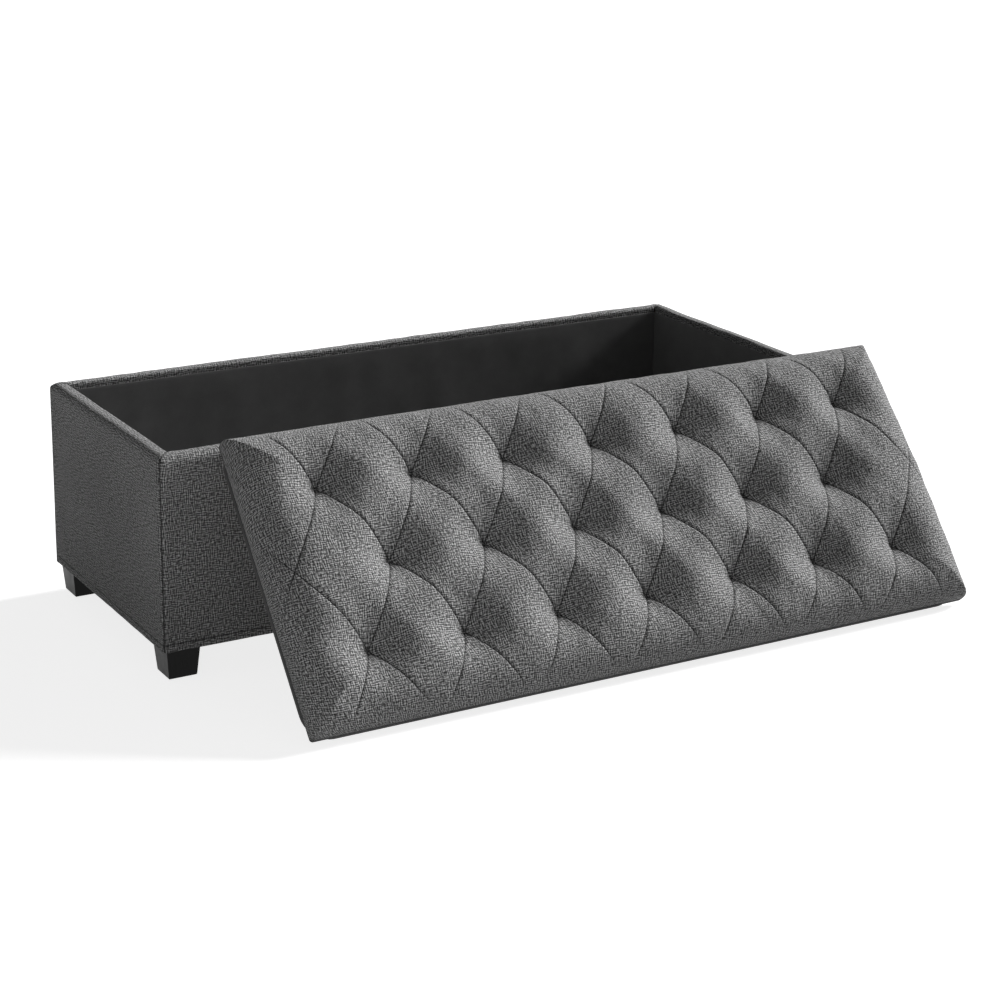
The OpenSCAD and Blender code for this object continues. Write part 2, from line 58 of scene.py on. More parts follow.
# Box: the outer faces of its covers, from the frame, and its wall's section
BOX_LO = Vector((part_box("left_cover")[0].x, *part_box("front_cover")[0].yz))
BOX_HI = Vector((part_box("right_cover")[1].x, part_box("back_cover")[1].y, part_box("front_cover")[1].z))
BOX_SIZE = BOX_HI - BOX_LO
BOX_MIDDLE = (BOX_LO + BOX_HI) / 2
RIM_Z = BOX_HI.z
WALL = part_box("left_lining")[1].x - BOX_LO.x
LINING_T = 1 * MM
COVER_IN = WALL - LINING_T
EDGE_R = 12 * MM
INNER_EDGE_R = 4 * MM
CORNER_R = 6 * MM
BOTTOM_R = 3 * MM
HEM_W = 25 * MM
TURN_IN = 30 * MM

# Box covers: swell on the faces, calm near seams, a puff beside each seam, sunken seams and hem line, and
# the width of the painted shade along the seams
FACE_SWELL = 1 * MM
INSIDE_SWELL = 0.2 * MM
CALM_W = 14 * MM
PUFF = 0.8 * MM
PUFF_AT = 7 * MM
PUFF_W = 5 * MM
SEAM_SINK = 0.8 * MM
SEAM_SINK_W = 1.6 * MM
SEAM_SHADE_W = 2.2 * MM
HEM_SINK = 0.7 * MM
HEM_LINE_W = 1.1 * MM

# Topstitching above the box's lower edge
STITCH_Z = 11.5 * MM
STITCH = 3.4 * MM
STITCH_GAP = 1 * MM
STITCH_SINK = 0.55 * MM
STITCH_END = 8 * MM
THREAD_R = 0.35 * MM

# Linings: held at their edges, the wall linings' folded edge a little under the solid ones'
LINING_SLACK = 1 * MM
LINING_SLIP = 5 * MM
LINING_FOLD = 12 * MM
FOLD_R = 0.5 * MM
TOP_HOLD = 12 * MM
EDGE_HOLD = 30 * MM
FLOOR_RISE = 1.2 * MM
DUST_SAG = 0.2 * MM

# Lid, in its own frame: X along it, Y up its slope from the foot edge, Z out of its tufted face
LID_L = 1100 * MM
LID_D = 435 * MM
BASE_CORNER_R = 40 * MM
BASE_TOP = 10 * MM
SEAT_BOARD_INSET = 4 * MM
BORDER_Z = 19 * MM
BORDER_W = 90 * MM
SEAT_H = 71 * MM
SEAT_CORNER_R = 4 * MM
SEAT_HEM = 22 * MM
HEM_LIFT = 0.4 * MM
END_SWELL = 9 * MM
SIDE_SWELL = 3 * MM
SWELL_W = 22 * MM

# Tufts: wide funnels with pinched bottoms, no deeper than their cords' ends allow
TUFT_PITCH = 147.5 * MM
TUFT_ROW = 120 * MM
TUFT_COUNT = 7
TUFT_DEPTH = 28 * MM
TUFT_LIMIT = 32.3 * MM
TUFT_REACH = 60 * MM
TUFT_SOFTNESS = 0.2
TUFT_PINCH = 11 * MM
TUFT_PINCH_R = 7 * MM

# Seams from tuft to tuft, with the shallow valleys that they lie in, and the mitred corners; the seams and
# mitres also get a line of painted shade
VALLEY_DEPTH = 0.5 * MM
VALLEY_W = 12 * MM
SEAM_DEPTH = 1.7 * MM
SEAM_W = 1.4 * MM
SEAM_SHADE_LINE_W = 0.5 * MM
SEAM_START = 20 * MM
SEAM_FADE = 40 * MM
SEAM_END_R = 8 * MM
SEAM_DEEPER = 0.6
SEAM_DEEPER_R = 16 * MM
MITRE_W = 1.2 * MM
MITRE_L = 31 * MM

# Painted shade as a dark band near the seat cloth's foot, where it meets the base: its width at the ends
# and along the sides, and its fade; then the cloth's unevenness
END_SHADE_W = 4 * MM
SIDE_SHADE_W = 9 * MM
SHADE_FADE = 1.5 * MM
UNEVEN = 1 * MM
UNEVEN_START = 9 * MM
UNEVEN_FADE = 30 * MM

# Filling: cloth simulation on a coarse lattice, held at the tufts and along the edge
SIM_CELLS = 20
SIM_FRAMES = 20
SIM_PRESSURE = 4
SIM_CAP = 4.5 * MM
HELD_TUFT_R = 10 * MM
HELD_EDGE = 12 * MM
HELD_OVER = 1.35

# Lid underlining: its section round the base panel
UNDER_INSET = 0.6 * MM
UNDER_TUCK = 0.8 * MM
UNDER_TUCK_Z = 0.6 * MM
UNDER_R = 1.5 * MM
UNDER_FLAT = 4 * MM
UNDER_SAG = 0.25 * MM

# Staples: the wire's path in half widths along it and in mm out of the cloth
STAPLE_W = 10 * MM
STAPLE_R = 0.6 * MM
STAPLE_PATH = [(-1, -0.8), (-1, 0.2), (-0.9, 0.5), (0, 0.55), (0.9, 0.5), (1, 0.2), (1, -0.8)]
STAPLE_STEP = 46 * MM
STAPLE_MARGIN = 9 * MM
LEG_CLEAR = 8 * MM

# Unevenness: the sizes of each cloth's broad and small waves
COVER_WAVES = (160 * MM, 45 * MM)
LINING_WAVES = (200 * MM, 50 * MM)
SHEET_WAVES = (140 * MM, 50 * MM)
SEAT_WAVES = (70 * MM, 22 * MM)
UNDER_WAVE = 150 * MM

# Mesh steps: those near a cover's ends grow from END_STEP, and the seat has SEAM_CELLS to a tuft
SEAM_CELLS = 100
FACE_STEP = 4.5 * MM
END_STEP = 0.5 * MM
END_ZONE = 12 * MM
END_COUNT = 14
HEM_STEP = 0.8 * MM
RIM_STEP = 1.6 * MM
INSIDE_STEP = 2.6 * MM
TURNED_STEP = 4 * MM
UNDER_STEP = 2 * MM
LINING_STEP_X = 6 * MM
LINING_STEP_Z = 5 * MM
SHEET_STEP = 7 * MM

# Most of a noise texture's values
NOISE = (0.3, 0.7)

# Weave: a slub's width and length, the width of 32 threads, broad worn patches, and the relief
YARN = 1.5 * MM
SLUB = 10 * MM
THREADS = 23.5 * MM
WORN_PATCH = 160 * MM
WEAVE_RELIEF = 0.16 * MM
STREAK_RANGE = 0.24
# The near-black tone of the painted shade in seams and creases
SEAM_SHADE_TONE = 0.008


# ---- Shaders ----


class Shader:
    """A material built up from short calls."""

    def __init__(self, name):
        self.material = bpy.data.materials.new(name)
        self.material.use_nodes = True
        self.tree = self.material.node_tree
        self.surface = self.tree.nodes["Principled BSDF"]

    def put(self, socket, value):
        """Gives a socket its value, or a link if the value is another socket."""
        if isinstance(value, bpy.types.NodeSocket):
            self.tree.links.new(value, socket)
        else:
            socket.default_value = value

    def finish(self, **inputs):
        """Sets the surface's own sockets by name, with _ for a space."""
        for name, value in inputs.items():
            self.put(self.surface.inputs[name.replace("_", " ")], value)
        return self.material

    def node(self, kind, values, out=0, **settings):
        """Adds a node, with values for its inputs by name or place, and gives one of its outputs."""
        made = self.tree.nodes.new(kind)
        for key, value in settings.items():
            setattr(made, key, value)
        for key, value in values.items():
            self.put(made.inputs[key], value)
        return made.outputs[out]

    def math(self, operation, *values):
        return self.node("ShaderNodeMath", dict(enumerate(values)), operation=operation)

    def cloth(self):
        """The piece's cloth coordinates, in metres."""
        return self.node("ShaderNodeUVMap", {}, uv_map="cloth")

    def place(self):
        """Coordinates in the piece itself, in metres."""
        return self.node("ShaderNodeTexCoord", {}, out="Object")

    def scaled(self, vector, *sizes):
        """The vector in units of these sizes, in metres. A single size is for all three axes."""
        factors = [1 / size for size in (sizes if len(sizes) == 3 else sizes * 3)]
        return self.node("ShaderNodeVectorMath", {0: vector, 1: factors}, operation="MULTIPLY")

    def noise(self, vector, detail=2.0, rough=0.5):
        values = {"Vector": vector, "Scale": 1.0, "Detail": detail, "Roughness": rough}
        return self.node("ShaderNodeTexNoise", values)

    def cells(self, vector, scatter=1.0):
        """The distance from the middle of the nearest cell."""
        return self.node("ShaderNodeTexVoronoi", {"Vector": vector, "Scale": 1.0, "Randomness": scatter})

    def threads(self, vector, direction):
        """Rounded threads side by side, 32 of them in one unit."""
        values = {"Vector": vector, "Scale": 10.0}
        return self.node("ShaderNodeTexWave", values, bands_direction=direction)

    def streaks(self, vector, beside):
        """Fine streaks from 0 to 1, not blotchy: a noise less the same noise one streak beside it."""
        shifted = self.node("ShaderNodeVectorMath", {0: vector, 1: beside}, operation="ADD")
        change = self.math("SUBTRACT", self.noise(vector, 1), self.noise(shifted, 1))
        return self.spread(change, -STREAK_RANGE, STREAK_RANGE)

    def spread(self, value, low, high, to_low=0.0, to_high=1.0):
        """The value carried from one range to another and kept inside it."""
        return self.node("ShaderNodeMapRange", {0: value, 1: low, 2: high, 3: to_low, 4: to_high})

    def blend(self, share, a, b, how="MIX"):
        """Colour a at a share of 0, and b at 1."""
        return self.node("ShaderNodeMix", {0: share, 6: a, 7: b}, out=2, data_type="RGBA", blend_type=how)

    def bump(self, height, distance, strength):
        return self.node("ShaderNodeBump", {"Height": height, "Distance": distance, "Strength": strength})


def grey(value):
    return (value, value, value, 1)


def woven(name, dark, mean, light):
    """Heathered linen-look cloth: slubby yarns both ways over a dark ground, with painted shade, near
    black, in its seams and creases.
    """
    s = Shader(name)
    cloth = s.cloth()
    warp = s.streaks(s.scaled(cloth, YARN, SLUB, 1), (1, 0, 0))
    weft = s.streaks(s.scaled(cloth, SLUB, YARN, 1), (0, 1, 0))
    tone = s.math("ADD", warp, weft)
    colour = s.blend(s.spread(tone, 0.4, 1), grey(dark), grey(mean))
    colour = s.blend(s.spread(tone, 1, 1.6), colour, grey(light))
    worn = s.spread(s.noise(s.scaled(cloth, WORN_PATCH, WORN_PATCH, 1)), *NOISE, 0.93, 1.07)
    worn = s.node("ShaderNodeCombineColor", {0: worn, 1: worn, 2: worn})
    colour = s.blend(1.0, colour, worn, "MULTIPLY")
    # Painted shade: where the groove attribute is high, the cloth is darkened almost to black
    groove = s.node("ShaderNodeAttribute", {}, out="Fac", attribute_name="groove")
    colour = s.blend(s.spread(groove, 0.1, 0.9, 0, 0.85), colour, grey(SEAM_SHADE_TONE))
    across = s.threads(s.scaled(cloth, THREADS, 1, 1), "X")
    along = s.threads(s.scaled(cloth, 1, THREADS, 1), "Y")
    relief = s.math("MULTIPLY_ADD", s.math("ADD", across, along), 0.25, tone)
    return s.finish(
        Base_Color=colour,
        Roughness=s.spread(tone, 0.5, 2, 0.95, 0.82),
        Normal=s.bump(relief, WEAVE_RELIEF, 0.9),
        Sheen_Weight=0.15,
        Sheen_Roughness=0.45,
        Specular_IOR_Level=0.1,
    )


def non_woven(name, tone, layer=True):
    """Thin pressed-fibre cloth with a fine dot pattern, laid out by the cloth layer or by place."""
    s = Shader(name)
    cloth = s.cloth() if layer else s.place()
    fibre = s.noise(s.scaled(cloth, 1.2 * MM), 3, 0.7)
    clouds = s.noise(s.scaled(cloth, 30 * MM), 3, 0.6)
    dots = s.spread(s.cells(s.scaled(cloth, 1.8 * MM), 0.15), 0, 0.5)
    share = s.math("MULTIPLY_ADD", s.spread(clouds, *NOISE), 0.25, s.spread(fibre, *NOISE, 0.15, 0.6))
    relief = s.math("MULTIPLY_ADD", dots, 0.6, fibre)
    return s.finish(
        Base_Color=s.blend(share, grey(tone * 0.75), grey(tone * 1.3)),
        Roughness=s.spread(fibre, *NOISE, 0.7, 0.9),
        Normal=s.bump(relief, 0.12 * MM, 0.7),
        Sheen_Weight=0.15,
        Sheen_Roughness=0.5,
        Specular_IOR_Level=0.3,
    )


def painted_wood(name):
    """Satin black paint over wood, its grain faintly there, lighter where the foot edges rub."""
    s = Shader(name)
    place = s.place()
    grain = s.noise(s.scaled(place, 1.6 * MM, 1.6 * MM, 40 * MM), 4, 0.6)
    drift = s.noise(s.scaled(place, 25 * MM), 2)
    height = s.node("ShaderNodeSeparateXYZ", {0: place}, out=2)
    foot = s.spread(height, 6 * MM, 1 * MM)
    rubbed = s.math("MULTIPLY", foot, s.spread(drift, 0.5, 0.75))
    colour = s.blend(s.spread(grain, *NOISE), grey(0.010), grey(0.016))
    return s.finish(
        Base_Color=s.blend(rubbed, colour, grey(0.05)),
        Roughness=s.spread(drift, *NOISE, 0.34, 0.46),
        Normal=s.bump(grain, 0.15 * MM, 0.35),
        Specular_IOR_Level=0.12,
    )


def sawn_timber(name, along):
    """Pale softwood: growth rings drawn out along one axis, with fine saw marks."""
    s = Shader(name)
    dark, pale = (0.42, 0.27, 0.14, 1), (0.68, 0.5, 0.3, 1)
    stretch = [9 * MM, 9 * MM, 9 * MM]
    stretch["XYZ".index(along)] = 260 * MM
    place = s.place()
    rings = s.noise(s.scaled(place, *stretch), 4, 0.62)
    fibre = s.noise(s.scaled(place, *[0.12 * size for size in stretch]), 3, 0.7)
    saw = s.noise(s.scaled(place, 2 * MM), 1)
    tone = s.math("MULTIPLY_ADD", s.spread(fibre, *NOISE), 0.35, s.spread(rings, 0.35, 0.65, 0, 0.65))
    return s.finish(
        Base_Color=s.blend(tone, dark, pale),
        Roughness=s.spread(fibre, *NOISE, 0.6, 0.8),
        Normal=s.bump(s.math("MULTIPLY_ADD", saw, 0.4, fibre), 0.25 * MM, 0.6),
    )


def fibreboard(name):
    """Raw board: fine matted fibres with a few darker flecks."""
    dark, pale, flecks = (0.36, 0.24, 0.13, 1), (0.52, 0.37, 0.22, 1), (0.22, 0.14, 0.07, 1)
    s = Shader(name)
    place = s.place()
    fibre = s.noise(s.scaled(place, 1.1 * MM), 4, 0.7)
    fleck = s.noise(s.scaled(place, 5 * MM), 3, 0.6)
    colour = s.blend(s.spread(fibre, *NOISE), dark, pale)
    return s.finish(
        Base_Color=s.blend(s.spread(fleck, 0.6, 0.75, 0, 0.5), colour, flecks),
        Roughness=s.spread(fibre, *NOISE, 0.7, 0.85),
        Normal=s.bump(fibre, 0.2 * MM, 0.5),
    )


def open_foam(name):
    """Cream open-cell foam."""
    dark, pale, pores = (0.68, 0.62, 0.46, 1), (0.8, 0.76, 0.62, 1), (0.45, 0.4, 0.28, 1)
    s = Shader(name)
    place = s.place()
    cells = s.cells(s.scaled(place, 1.4 * MM))
    tint = s.noise(s.scaled(place, 40 * MM), 2)
    colour = s.blend(s.spread(tint, *NOISE), dark, pale)
    return s.finish(
        Base_Color=s.blend(s.spread(cells, 0.1, 0.5, 0.5, 0), colour, pores),
        Roughness=s.spread(cells, 0, 0.6, 0.95, 0.8),
        Normal=s.bump(cells, 0.5 * MM, 0.8),
    )


def metal(name, dark, light, rough, mark=0.5 * MM):
    """Plated or turned metal with fine marks round its Z axis, this high."""
    s = Shader(name)
    place = s.place()
    marks = s.noise(s.scaled(place, 4 * MM, 4 * MM, mark), 3, 0.7)
    dull = s.noise(s.scaled(place, 3 * MM), 2)
    return s.finish(
        Base_Color=s.blend(s.spread(dull, *NOISE), dark, light),
        Roughness=s.spread(marks, *NOISE, rough, rough + 0.15),
        Normal=s.bump(marks, 0.05 * MM, 0.4),
        Metallic=1.0,
    )


def moulded(name, tone):
    """Fine-grained dark plastic, scuffed underneath."""
    s = Shader(name)
    place = s.place()
    grain = s.noise(s.scaled(place, 0.5 * MM), 2)
    scuffs = s.noise(s.scaled(place, 9 * MM, 1.2 * MM, 9 * MM), 3, 0.7)
    return s.finish(
        Base_Color=s.blend(s.spread(scuffs, 0.5, 0.75), grey(tone), grey(tone * 2.2)),
        Roughness=s.spread(scuffs, *NOISE, 0.4, 0.65),
        Normal=s.bump(grain, 0.08 * MM, 0.5),
    )


def twine(name, tone):
    """Waxed thread: plies that run round it."""
    s = Shader(name)
    place = s.place()
    ply = s.noise(s.scaled(place, 0.5 * MM, 0.5 * MM, 0.9 * MM), 2, 0.6)
    return s.finish(
        Base_Color=s.blend(s.spread(ply, *NOISE), grey(tone * 0.6), grey(tone)),
        Roughness=s.spread(ply, *NOISE, 0.55, 0.8),
        Normal=s.bump(ply, 0.15 * MM, 0.8),
    )


# The seat and the box are covered in one cloth; the box's copy is set a little lighter, as painted light
# that keeps its faces bright enough
SEAT_CLOTH = woven("seat_cloth", 0.035, 0.145, 0.57)
BOX_CLOTH_LIGHTENED = woven("box_cloth", 0.045, 0.15, 0.55)
LINING = non_woven("lining", 0.125)
# The lid's underlining is the same black non-woven as the box's linings, made darker as painted shade for
# the shaded band along the lid's edges
UNDERLINING_SHADED = non_woven("underlining", 0.035)
LINING_SOLID = non_woven("lining_solid", 0.125, layer=False)
LEG = painted_wood("black_paint")
TIMBER_X = sawn_timber("timber_along_x", "X")
TIMBER_Y = sawn_timber("timber_along_y", "Y")
TIMBER_Z = sawn_timber("timber_along_z", "Z")
BOARD = fibreboard("fibreboard")
FOAM = open_foam("foam")
STEEL = metal("zinc_steel", (0.42, 0.43, 0.45, 1), (0.62, 0.63, 0.65, 1), 0.32)
BRASS = metal("turned_brass", (0.5, 0.36, 0.12, 1), (0.72, 0.54, 0.22, 1), 0.28, 0.3 * MM)
PLASTIC = moulded("glide_plastic", 0.02)
CORD = twine("cord_thread", 0.55)
THREAD = twine("dark_thread", 0.05)
STAPLE = metal("staple_wire", (0.45, 0.45, 0.46, 1), (0.66, 0.66, 0.67, 1), 0.3)

# Each solid takes the first finish here whose key is in its name.
CAD_FINISH = {
    "_panel": BOARD,
    "seat_board": BOARD,
    "lid_base": BOARD,
    "front_rail": TIMBER_X,
    "back_rail": TIMBER_X,
    "left_rail": TIMBER_Y,
    "right_rail": TIMBER_Y,
    "centre_rail": TIMBER_Y,
    "front_batten": TIMBER_X,
    "back_batten": TIMBER_X,
    "left_batten": TIMBER_Y,
    "right_batten": TIMBER_Y,
    "corner_blocks": TIMBER_Z,
    "_leg": LEG,
    "glides": PLASTIC,
    "inserts": BRASS,
    "bolts": STEEL,
    "screws": STEEL,
    "washers": STEEL,
    "cords": CORD,
    "_pad": FOAM,
    "seat_foam": FOAM,
    "_cover": BOX_CLOTH_LIGHTENED,
    "_lining": LINING_SOLID,
}
for name, node in nodes.items():
    finish = next(CAD_FINISH[part] for part in CAD_FINISH if part in name)
    node.data.materials.clear()
    node.data.materials.append(finish)


# ---- Mesh helpers ----


def ripple(u, v, wave, seed, count=12):
    """Smooth, repeatable unevenness of about unit height, in features of about one wave's size."""
    random = np.random.default_rng(seed)
    total = 0
    for _ in range(count):
        turn, phase = random.uniform(0, FULL_TURN, 2)
        size = wave * random.uniform(0.7, 1.5)
        total = total + np.sin((u * np.cos(turn) + v * np.sin(turn)) * FULL_TURN / size + phase)
    return total * math.sqrt(2 / count)


def hump(distance, width):
    """1 at no distance, falling smoothly to nothing at about twice the width."""
    return np.exp(-((distance / width) ** 2))


def piece(name, points, faces, material, body, slot, **layers):
    """A smooth mesh that rides on a body.

    A layer has a row for each point: with two columns it is a UV map, else an attribute.
    """
    mesh = bpy.data.meshes.new(name)
    mesh.from_pydata(points.tolist(), [], faces if isinstance(faces, list) else faces.tolist())
    corners = np.empty(len(mesh.loops), np.int32)
    mesh.loops.foreach_get("vertex_index", corners)
    for layer, values in layers.items():
        if values.ndim == 2:
            uv = mesh.uv_layers.new(name=layer)
            uv.data.foreach_set("uv", values[corners].astype(np.float32).ravel())
        else:
            attribute = mesh.attributes.new(layer, "FLOAT", "POINT")
            attribute.data.foreach_set("value", values.astype(np.float32))
    mesh.shade_smooth()
    mesh.materials.append(material)
    made = bpy.data.objects.new(name, mesh)
    bpy.context.scene.collection.objects.link(made)
    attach(made, body)
    return made


def grid_faces(rows, columns, flip=False):
    """Quads of a grid of points, row after row."""
    first = (np.arange(rows - 1)[:, None] * columns + np.arange(columns - 1)).ravel()
    quads = np.stack([first, first + 1, first + columns + 1, first + columns], 1)
    return quads[:, ::-1] if flip else quads


def stations(low, high, step):
    """Evenly spaced values from low to high, about a step apart."""
    count = max(1, round((high - low) / step))
    return np.linspace(low, high, count + 1)


def arc(middle, radius, start, end, steps):
    """Points of an arc in two dimensions, from one angle to another in degrees, without its first."""
    angles = np.radians(np.linspace(start, end, steps + 1)[1:])
    return np.stack([middle[0] + radius * np.cos(angles), middle[1] + radius * np.sin(angles)], 1)


def line(start, end, step):
    """Points of a line in two dimensions, without its first."""
    start, end = np.array(start), np.array(end)
    share = stations(0, 1, step / np.linalg.norm(end - start))[1:, None]
    return start + (end - start) * share


def round_corner(from_x, from_y, radius):
    """Moves points near a square corner onto a round one. Both distances are in from the two edges."""
    inside_x = np.clip(radius - from_x, 0, None)
    inside_y = np.clip(radius - from_y, 0, None)
    reach = np.maximum(inside_x, inside_y)
    length = np.maximum(np.hypot(inside_x, inside_y), TINY)
    both = (inside_x > 0) & (inside_y > 0)
    new_x = np.where(both, radius - inside_x / length * reach, from_x)
    new_y = np.where(both, radius - inside_y / length * reach, from_y)
    return new_x, new_y


def trim_corner(from_x, from_y, radius):
    """Moves points that lie outside a round corner in onto it, and leaves the others."""
    inside_x = np.clip(radius - from_x, 0, None)
    inside_y = np.clip(radius - from_y, 0, None)
    keep = np.minimum(1, radius / np.maximum(np.hypot(inside_x, inside_y), TINY))
    both = (inside_x > 0) & (inside_y > 0)
    new_x = np.where(both, radius - inside_x * keep, from_x)
    new_y = np.where(both, radius - inside_y * keep, from_y)
    return new_x, new_y


def tube_along(path, radius, sides=6):
    """Points and faces of a capped tube along a path. No path here runs in the direction aside."""
    path = np.asarray(path, float)
    aside = (0.31, 0.17, 0.93)
    ahead = np.gradient(path, axis=0)
    ahead /= np.linalg.norm(ahead, axis=1)[:, None]
    side = np.cross(ahead, aside)
    side /= np.linalg.norm(side, axis=1)[:, None]
    up = np.cross(side, ahead)
    turn = np.arange(sides) * FULL_TURN / sides
    ring = side[:, None] * np.cos(turn)[:, None] + up[:, None] * np.sin(turn)[:, None]
    points = (path[:, None] + radius * ring).reshape(-1, 3)
    faces = []
    for k in range(len(path) - 1):
        for q in range(sides):
            r = (q + 1) % sides
            faces.append([k * sides + q, k * sides + r, (k + 1) * sides + r, (k + 1) * sides + q])
    faces.append(list(range(sides))[::-1])
    faces.append([(len(path) - 1) * sides + q for q in range(sides)])
    return points, faces


def gathered(name, parts, material, body, slot):
    """One piece made of many small closed ones, each given as points and faces."""
    counts = np.cumsum([0] + [len(points) for points, _ in parts])
    faces = [[first + k for k in face] for first, (_, part) in zip(counts.tolist(), parts) for face in part]
    return piece(name, np.concatenate([points for points, _ in parts]), faces, material, body, slot)


# ---- Box upholstery ----

# Each side is drawn as if it were the front: along it, in from its outer face, and up.
# Its length, and its turn about the vertical in degrees.
SIDES = {
    "front": (BOX_SIZE.x, 0),
    "right": (BOX_SIZE.y, 90),
    "back": (BOX_SIZE.x, 180),
    "left": (BOX_SIZE.y, 270),
}


def on_side(side, along, inset, height):
    """Points of one side in the row frame."""
    turn = SIDES[side][1]
    depth = (BOX_SIZE.y if turn % 180 == 0 else BOX_SIZE.x) / 2
    y = inset - depth
    c, s = math.cos(math.radians(turn)), math.sin(math.radians(turn))
    return np.stack(
        [BOX_MIDDLE.x + along * c - y * s, BOX_MIDDLE.y + along * s + y * c, height + 0 * along], -1
    )


def wall_profile():
    """The cover's section, as inset and height: its hem, the outside, over the rim and down inside."""
    low, top = BOX_LO.z, RIM_Z
    parts = [
        [(HEM_W, low)],
        line((HEM_W, low), (BOTTOM_R, low), TURNED_STEP),
        arc((BOTTOM_R, low + BOTTOM_R), BOTTOM_R, 270, 180, 5),
        line((0, low + BOTTOM_R), (0, low + 2 * STITCH_Z), HEM_STEP),
        line((0, low + 2 * STITCH_Z), (0, top - EDGE_R), FACE_STEP),
        arc((EDGE_R, top - EDGE_R), EDGE_R, 180, 90, 10),
        line((EDGE_R, top), (COVER_IN - INNER_EDGE_R, top), RIM_STEP),
        arc((COVER_IN - INNER_EDGE_R, top - INNER_EDGE_R), INNER_EDGE_R, 90, 0, 7),
        line((COVER_IN, top - INNER_EDGE_R), (COVER_IN, top - TURN_IN), INSIDE_STEP),
    ]
    return np.concatenate(parts)


def cover_push(across, run, height, from_seam, on_face, seed):
    """How far a cover stands out from its plain section."""
    near_hem = np.abs(height - BOX_LO.z - STITCH_Z)
    free = (1 - hump(from_seam, CALM_W)) * (1 - 0.8 * hump(near_hem, CALM_W))
    broad = 0.35 * ripple(across, run, COVER_WAVES[0], seed)
    small = 0.15 * ripple(across, run, COVER_WAVES[1], seed + 1)
    swell = FACE_SWELL * np.clip(0.5 + broad + small, -0.3, 1.1) * free
    puff = PUFF * hump(from_seam - PUFF_AT, PUFF_W)
    seam_sink = SEAM_SINK * hump(from_seam, SEAM_SINK_W)
    hem_sink = HEM_SINK * hump(near_hem, HEM_LINE_W) * on_face
    return swell + puff - (seam_sink + hem_sink)


def box_cover(side, seed):
    """One side's fabric over its padding, seamed at the corners and topstitched above its lower edge."""
    half = SIDES[side][0] / 2
    profile = wall_profile()
    run = np.concatenate([[0], np.cumsum(np.linalg.norm(np.diff(profile, axis=0), axis=1))])[:, None]
    ahead = np.gradient(profile, axis=0)
    out = np.stack([-ahead[:, 1], ahead[:, 0]], 1) / np.linalg.norm(ahead, axis=1)[:, None]
    end = np.concatenate([[0], np.geomspace(END_STEP, END_ZONE, END_COUNT)])
    between = stations(end[-1] - half, half - end[-1], FACE_STEP)[1:-1]
    along = np.concatenate([end - half, between, half - end[::-1]])
    inset, height = profile[:, :1], profile[:, 1:]
    x = along[None, :] * (half - inset) / half
    from_end = half - np.abs(x)
    from_seam = half - inset - np.abs(x)
    on_face = (np.abs(out[:, :1] + 1) < 0.01).astype(float)
    push = cover_push(x, run, height, from_seam, on_face, seed)
    inside = inset > COVER_IN - INNER_EDGE_R
    push = np.where(inside, np.clip(push, -INSIDE_SWELL, INSIDE_SWELL), push)
    # Painted shade along the corner seams and along the hem's stitch line, handed on as the groove
    # attribute that darkens the cloth
    hem_shade = 0.9 * hump(height - BOX_LO.z - STITCH_Z, HEM_LINE_W) * on_face
    groove = np.maximum(hump(from_seam, SEAM_SHADE_W), hem_shade)
    inset = inset + push * out[:, :1]
    height = height + push * out[:, 1:]
    from_end, inset = trim_corner(from_end, inset, CORNER_R)
    x = np.sign(x) * (half - from_end)
    points = on_side(side, x, inset, height)
    flat = np.stack([x + 3 * seed, run + 0 * x], -1)
    made = piece(
        f"{side}_upholstery", points.reshape(-1, 3), grid_faces(*x.shape), BOX_CLOTH_LIGHTENED, "box", "upholstery",
        cloth=flat.reshape(-1, 2), groove=groove.ravel(),
    )
    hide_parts(f"{side}_cover")
    return made


for k, side in enumerate(SIDES):
    box_cover(side, 10 * k + 1)


def topstitches():
    """The thread that shows along the hem, stitch by stitch."""
    made = []
    for side, (length, _) in SIDES.items():
        for x in np.arange(STITCH_END - length / 2, length / 2 - STITCH_END, STITCH + STITCH_GAP):
            share = np.linspace(0, 1, 5)
            along = x + STITCH * share
            inset = STITCH_SINK * (1 - np.sin(math.pi * share))
            made.append(tube_along(on_side(side, along, inset, BOX_LO.z + STITCH_Z), THREAD_R, 5))
    return gathered("hem_stitches", made, THREAD, "box", "upholstery")


topstitches()


# ---- Box linings ----


def wall_lining(side, seed):
    """A hanging lining with a folded upper edge, and a little slack between its fixings."""
    node = f"{side}_lining"
    low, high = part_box(node)
    top = high.z - LINING_SLIP
    length = SIDES[side][0] - 2 * COVER_IN
    drop = line((WALL, low.z), (WALL, top - FOLD_R), LINING_STEP_Z)
    fold = arc((WALL - FOLD_R, top - FOLD_R), FOLD_R, 0, 180, 6)
    back = line(fold[-1], (WALL - 2 * FOLD_R, top - LINING_FOLD), TURNED_STEP)
    profile = np.concatenate([[(WALL, low.z)], drop, fold, back])
    half = length / 2
    along = stations(-half, half, LINING_STEP_X)[None, :]
    inset, height = profile[:, :1] + 0 * along, profile[:, 1:] + 0 * along
    shown = (np.arange(len(profile)) <= len(drop)).astype(float)[:, None]
    held = (1 - hump(half - np.abs(along), EDGE_HOLD)) * (1 - hump(height - low.z, EDGE_HOLD))
    held = held * (1 - hump(top - height, TOP_HOLD))
    broad = 0.3 * ripple(along, height, LINING_WAVES[0], seed)
    folds = 0.12 * ripple(along, 0.3 * height, LINING_WAVES[1], seed + 1)
    inset = inset + LINING_SLACK * np.clip(0.5 + broad + folds, 0, 2.4) * held * shown
    x = along * (half - (WALL - COVER_IN) * shown) / half
    points = on_side(side, x, inset, height)
    flat = np.stack([x + 0 * height + seed, height], -1)
    made = piece(
        f"{side}_lining_cloth", points.reshape(-1, 3), grid_faces(*height.shape, flip=True), LINING,
        "box", "lining", cloth=flat.reshape(-1, 2),
    )
    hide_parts(node)
    return made


for k, side in enumerate(SIDES):
    wall_lining(side, 10 * k + 3)


